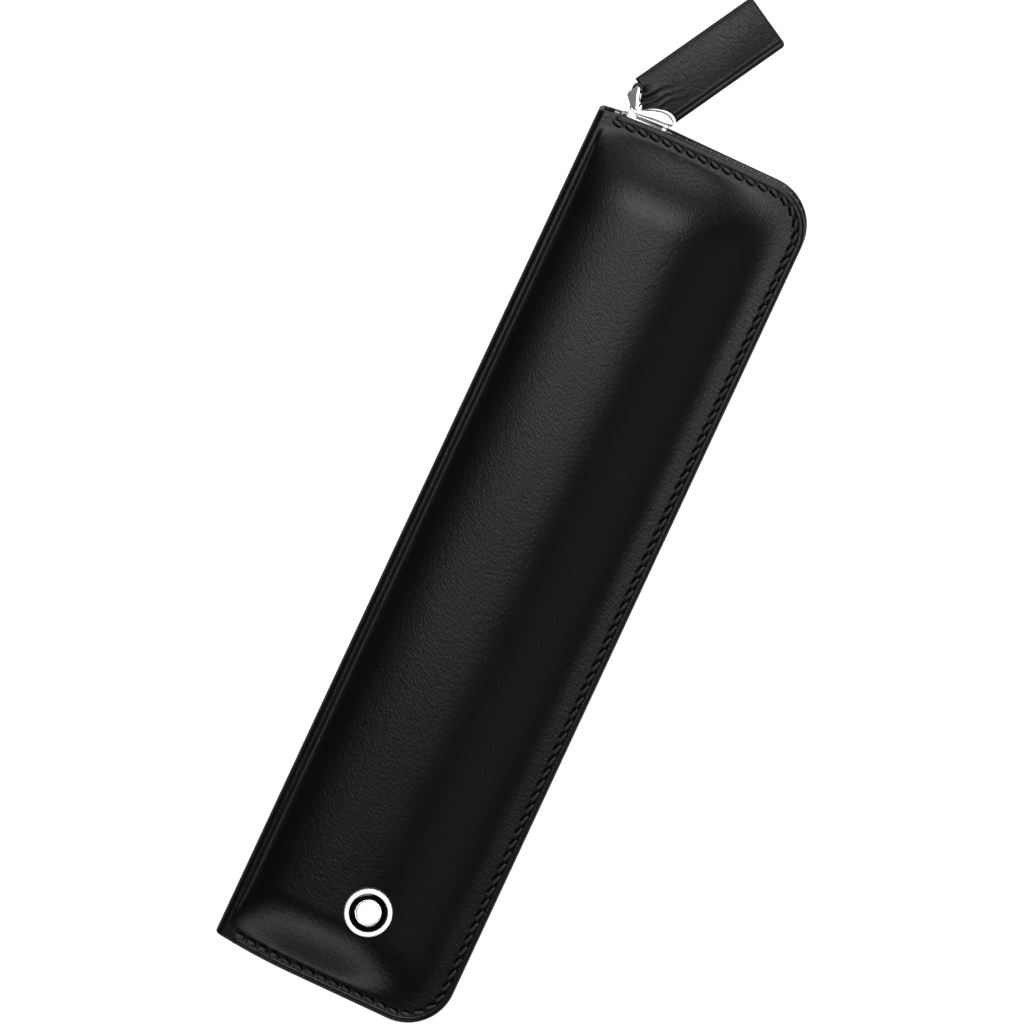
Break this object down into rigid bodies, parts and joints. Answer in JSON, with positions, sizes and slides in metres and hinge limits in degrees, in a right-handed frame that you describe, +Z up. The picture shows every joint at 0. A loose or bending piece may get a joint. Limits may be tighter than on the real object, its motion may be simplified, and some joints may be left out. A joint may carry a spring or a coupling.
{
  "type": "fountain pen case",
  "caption": "Slim zipped clamshell case of moulded leather that holds a pen in an inner loop, with a slider and a leather pull tab.",
  "frame": {"origin": "on the flat of the rear crown, the face the case rests on, at mid length and mid width", "axes": "+Z up through the front panel, +Y along the case towards the end where the zip slider parks, +X from the spine to the zip side"},
  "size_m": [0.0432, 0.1924, 0.0221],
  "materials": {
    "cover_leather": "smooth semi-gloss black calf with a fine diagonal hair-cell grain",
    "tab_leather": "black calf with a fine cross grain, creased along the edges",
    "lining_leather": "matt black lining leather",
    "board": "grey bonded board",
    "zip_tape": "woven black tape",
    "zip_coil": "black nylon coil",
    "thread": "waxed black thread",
    "silver": "polished silver plating",
    "steel": "satin steel",
    "enamel": "black enamel, high gloss"
  },
  "bodies": {
    "rear_half": {"rear_cover": "cover_leather", "rear_board": "board", "rear_lining": "lining_leather", "rear_zip_tape": "zip_tape", "rear_zip_coil": "zip_coil", "rear_stitching": "thread", "rear_parking_stop": "silver", "zip_end_stop": "silver", "pen_loop": "lining_leather"},
    "spine": {"spine_leather": "cover_leather", "spine_lining": "lining_leather"},
    "front_half": {"front_cover": "cover_leather", "front_board": "board", "front_lining": "lining_leather", "front_zip_tape": "zip_tape", "front_zip_coil": "zip_coil", "front_stitching": "thread", "front_parking_stop": "silver", "badge_bezel": "silver", "badge_enamel": "enamel", "badge_stud": "steel", "badge_washer": "steel"},
    "slider": {"slider_body": "silver", "slider_cap": "silver", "slider_lock_spring": "steel"},
    "bail": {"bail": "silver"},
    "pull_tab": {"pull_tab": "tab_leather"}
  },
  "joints": [
    {"name": "spine_fold", "type": "hinge", "parent": "rear_half", "child": "spine", "pos_m": [-0.0216, 0, 0.0061], "axis": [0, -1, 0], "range_deg": [0, 90]},
    {"name": "front_fold", "type": "hinge", "parent": "spine", "child": "front_half", "pos_m": [-0.0216, 0, 0.0149], "axis": [0, -1, 0], "range_deg": [0, 90], "deforming": ["front_zip_coil"]},
    {"name": "slider_travel", "type": "slide", "parent": "rear_half", "child": "slider", "axis": [1, 0, 0], "range_m": [0, 0.02]},
    {"name": "bail_swing", "type": "hinge", "parent": "slider", "child": "bail", "pos_m": [-0.0157, 0.084, 0.0105], "axis": [0, 0, 1], "range_deg": [0, 40]},
    {"name": "tab_swing", "type": "hinge", "parent": "bail", "child": "pull_tab", "pos_m": [-0.01679, 0.08701, 0.0105], "axis": [0, 0, 1], "range_deg": [0, 70]}
  ],
  "couplings": [
    {"joint": "spine_fold", "follows": "front_fold", "ratio": 1}
  ]
}
